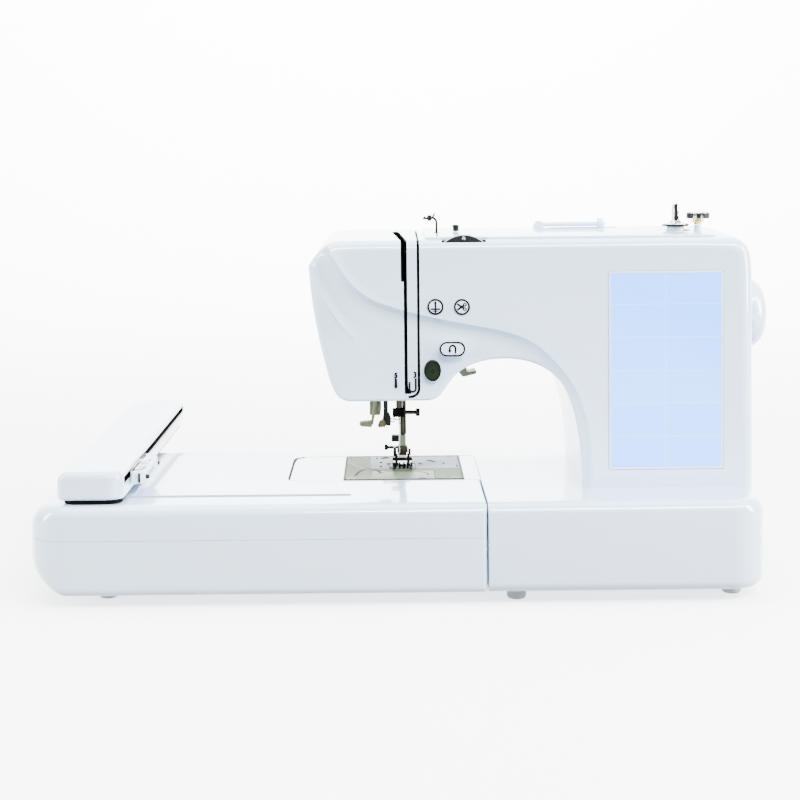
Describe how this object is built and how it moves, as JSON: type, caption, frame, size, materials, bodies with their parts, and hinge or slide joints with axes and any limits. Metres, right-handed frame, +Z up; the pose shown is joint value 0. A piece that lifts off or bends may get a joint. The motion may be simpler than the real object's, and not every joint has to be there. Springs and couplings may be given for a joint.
{
  "type": "embroidery machine",
  "caption": "Free-standing computerised embroidery and sewing machine with a touch screen and a slide-on embroidery unit with a moving hoop carriage.",
  "frame": {"origin": "middle of the footprint box at the level of the feet, so that z = 0 is the table", "axes": "+X from the embroidery unit towards the handwheel, +Y from the front face towards the back, +Z up"},
  "size_m": [0.624, 0.381, 0.3185],
  "materials": {
    "white_gloss": "glossy moulded housing plastic, cool white",
    "button_white": "satin white keys with dark ring outlines",
    "cream_plastic": "satin cream",
    "black_plastic": "satin black",
    "start_green": "glossy very dark green",
    "screen": "lit pale blue display under a glossy front",
    "clear_plastic": "clear moulded plastic",
    "plate_steel": "fine brushed stainless steel",
    "chrome": "polished plating",
    "machined_steel": "turned and ground steel",
    "cast_alloy": "die-cast, lightly textured",
    "brass": "turned",
    "rubber": "matt",
    "foot_rubber": "matt pale grey"
  },
  "bodies": {
    "housing": {"front_cover": "white_gloss", "face_cover": "white_gloss", "rear_cover": "white_gloss", "top_cover": "white_gloss", "bottom_cover": "white_gloss", "free_arm_cover": "white_gloss", "main_frame": "cast_alloy", "timing_belt": "rubber", "motor_belt": "rubber", "drive_motor": "machined_steel", "needle_plate": "plate_steel", "touch_screen": "screen", "winder_stop": "black_plastic", "thread_guide": "chrome", "lamp": "clear_plastic", "power_inlet": "black_plastic", "machine_foot_1": "foot_rubber", "machine_foot_2": "foot_rubber", "machine_foot_3": "foot_rubber", "machine_foot_4": "foot_rubber"},
    "upper_drive": {"main_shaft": "machined_steel", "handwheel": "white_gloss", "upper_pulley": "cast_alloy"},
    "lower_drive": {"lower_shaft": "machined_steel", "lower_pulley": "cast_alloy"},
    "hook": {"rotary_hook": "machined_steel"},
    "motor_rotor": {"motor_pulley": "brass"},
    "feed": {"feed_dog": "machined_steel"},
    "needle_group": {"needle_bar": "chrome", "needle_clamp": "chrome", "needle": "chrome"},
    "clamp_screw": {"needle_clamp_screw": "chrome"},
    "take_up": {"take_up_lever": "chrome"},
    "presser_group": {"presser_bar": "chrome", "foot_holder": "cream_plastic"},
    "foot": {"presser_foot": "chrome"},
    "holder_screw": {"foot_screw": "chrome"},
    "lifter": {"presser_lever": "cream_plastic"},
    "threader_group": {"threader": "cream_plastic"},
    "buttonhole_group": {"buttonhole_lever": "cream_plastic"},
    "bobbin_lid": {"bobbin_cover": "clear_plastic"},
    "needle_key": {"needle_button": "button_white"},
    "scissors_key": {"scissors_button": "button_white"},
    "reverse_key": {"reverse_button": "button_white"},
    "start_key": {"start_button": "start_green"},
    "dial": {"tension_dial": "black_plastic"},
    "winder_slider": {"winder_arm": "white_gloss"},
    "winder_rotor": {"winder_spindle": "chrome"},
    "spool_arm": {"spool_pin": "white_gloss"},
    "rocker": {"power_switch": "black_plastic"},
    "unit": {"unit_lower_cover": "white_gloss", "unit_upper_cover": "white_gloss", "x_guide_rod": "machined_steel", "unit_foot_1": "foot_rubber", "unit_foot_2": "foot_rubber"},
    "carriage": {"carriage_cover": "white_gloss", "carriage_base": "cast_alloy"},
    "hoop_slider": {"hoop_holder": "plate_steel"},
    "hoop_latch": {"hoop_lever": "button_white"}
  },
  "joints": [
    {"name": "handwheel_turn", "type": "hinge", "parent": "housing", "child": "upper_drive", "pos_m": [0.138, -0.0585, 0.221], "axis": [1, 0, 0], "continuous": true},
    {"name": "lower_shaft_turn", "type": "hinge", "parent": "housing", "child": "lower_drive", "pos_m": [0.108, -0.0585, 0.044], "axis": [1, 0, 0], "continuous": true},
    {"name": "hook_turn", "type": "hinge", "parent": "housing", "child": "hook", "pos_m": [-0.007, -0.0718, 0.06], "axis": [0, 0, 1], "continuous": true},
    {"name": "motor_turn", "type": "hinge", "parent": "housing", "child": "motor_rotor", "pos_m": [0.262, -0.0955, 0.12], "axis": [1, 0, 0], "continuous": true},
    {"name": "feed_stroke", "type": "slide", "parent": "housing", "child": "feed", "axis": [0, 1, 0], "range_m": [-0.0012, 0.0012]},
    {"name": "needle_stroke", "type": "slide", "parent": "housing", "child": "needle_group", "axis": [0, 0, -1], "range_m": [0, 0.028]},
    {"name": "clamp_screw_turn", "type": "hinge", "parent": "needle_group", "child": "clamp_screw", "pos_m": [0.002, -0.0445, 0.1326], "axis": [1, 0, 0], "range_deg": [0, 360]},
    {"name": "take_up_swing", "type": "hinge", "parent": "housing", "child": "take_up", "pos_m": [-0.0043, -0.0705, 0.245], "axis": [1, 0, 0], "range_deg": [0, 55]},
    {"name": "presser_lever_lift", "type": "hinge", "parent": "housing", "child": "lifter", "pos_m": [0.0515, -0.0225, 0.197], "axis": [1, 0, 0], "range_deg": [0, 60]},
    {"name": "presser_bar_lift", "type": "slide", "parent": "housing", "child": "presser_group", "axis": [0, 0, 1], "range_m": [0, 0.00801]},
    {"name": "foot_pitch", "type": "hinge", "parent": "presser_group", "child": "foot", "pos_m": [-0.007, -0.034, 0.0886], "axis": [1, 0, 0], "range_deg": [-0.8, 0.8]},
    {"name": "foot_screw_turn", "type": "hinge", "parent": "presser_group", "child": "holder_screw", "pos_m": [-0.018, -0.0305, 0.0986], "axis": [1, 0, 0], "range_deg": [0, 360]},
    {"name": "threader_press", "type": "slide", "parent": "housing", "child": "threader_group", "axis": [0, 0, -1], "range_m": [0, 0.028], "stiffness_N_per_m": 60, "springref_m": -0.01},
    {"name": "buttonhole_lever_pull", "type": "slide", "parent": "housing", "child": "buttonhole_group", "axis": [0, 0, -1], "range_m": [0, 0.02]},
    {"name": "bobbin_cover_lift", "type": "slide", "parent": "housing", "child": "bobbin_lid", "axis": [0, 0, 1], "range_m": [0, 0.006]},
    {"name": "needle_button_press", "type": "slide", "parent": "housing", "child": "needle_key", "axis": [0, 1, 0], "range_m": [0, 0.0012], "stiffness_N_per_m": 700, "springref_m": -0.0005},
    {"name": "scissors_button_press", "type": "slide", "parent": "housing", "child": "scissors_key", "axis": [0, 1, 0], "range_m": [0, 0.0012], "stiffness_N_per_m": 700, "springref_m": -0.0005},
    {"name": "reverse_button_press", "type": "slide", "parent": "housing", "child": "reverse_key", "axis": [0, 1, 0], "range_m": [0, 0.0012], "stiffness_N_per_m": 700, "springref_m": -0.0005},
    {"name": "start_button_press", "type": "slide", "parent": "housing", "child": "start_key", "axis": [0, 1, 0], "range_m": [0, 0.0012], "stiffness_N_per_m": 700, "springref_m": -0.0005},
    {"name": "tension_dial_turn", "type": "hinge", "parent": "housing", "child": "dial", "pos_m": [0.045, -0.127, 0.27], "axis": [0, 1, 0], "range_deg": [-150, 150]},
    {"name": "winder_shift", "type": "slide", "parent": "housing", "child": "winder_slider", "axis": [1, 0, 0], "range_m": [0, 0.004]},
    {"name": "winder_turn", "type": "hinge", "parent": "winder_slider", "child": "winder_rotor", "pos_m": [0.2306, -0.0805, 0.3], "axis": [0, 0, 1], "continuous": true},
    {"name": "spool_pin_raise", "type": "hinge", "parent": "housing", "child": "spool_arm", "pos_m": [0.116, -0.0405, 0.2995], "axis": [0, -1, 0], "range_deg": [0, 85]},
    {"name": "power_switch_rock", "type": "hinge", "parent": "housing", "child": "rocker", "pos_m": [0.278, -0.0845, 0.046], "axis": [0, 1, 0], "range_deg": [0, 16]},
    {"name": "unit_slide_off", "type": "slide", "parent": "housing", "child": "unit", "axis": [-1, 0, 0], "range_m": [0, 0.25]},
    {"name": "carriage_travel", "type": "slide", "parent": "unit", "child": "carriage", "axis": [1, 0, 0], "range_m": [0, 0.165]},
    {"name": "hoop_travel", "type": "slide", "parent": "carriage", "child": "hoop_slider", "axis": [0, 1, 0], "range_m": [0, 0.235]},
    {"name": "hoop_lever_swing", "type": "hinge", "parent": "hoop_slider", "child": "hoop_latch", "pos_m": [-0.227, -0.1145, 0.105], "axis": [0, 0, -1], "range_deg": [0, 70]}
  ],
  "couplings": [
    {"joint": "lower_shaft_turn", "follows": "handwheel_turn", "ratio": 1},
    {"joint": "hook_turn", "follows": "handwheel_turn", "ratio": 2},
    {"joint": "motor_turn", "follows": "handwheel_turn", "ratio": 4},
    {"joint": "presser_bar_lift", "follows": "presser_lever_lift", "m_per_rad": 0.00763}
  ]
}
